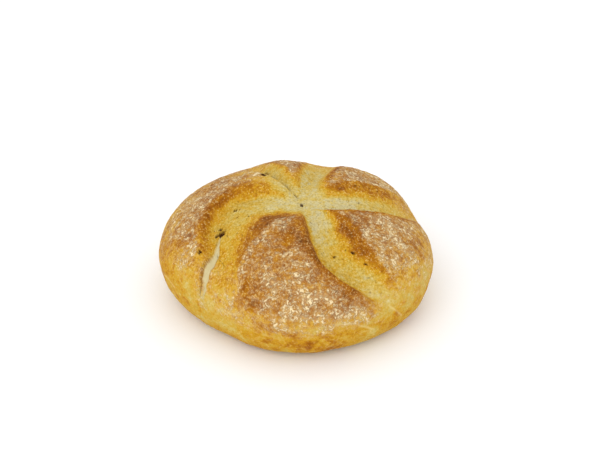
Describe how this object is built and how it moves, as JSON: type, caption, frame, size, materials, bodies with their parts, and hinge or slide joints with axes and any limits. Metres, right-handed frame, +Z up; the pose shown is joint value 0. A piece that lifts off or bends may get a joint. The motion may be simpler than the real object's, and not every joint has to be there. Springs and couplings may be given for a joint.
{
  "type": "bread roll",
  "caption": "Round wheat bread roll with a swirled star pressed into its floured top and a flat baked base.",
  "frame": {"origin": "middle of the flat base, on the surface that the roll stands on", "axes": "+Z up through the crown, -Y the front, +X to the right seen from the front"},
  "size_m": [0.1046, 0.1017, 0.0434],
  "materials": {
    "crust": "dull golden-brown baked crust, paler yellow in the arms of the star, dusted with flour on the lobes"
  },
  "bodies": {
    "root": {"bread_roll": "crust"}
  },
  "joints": []
}
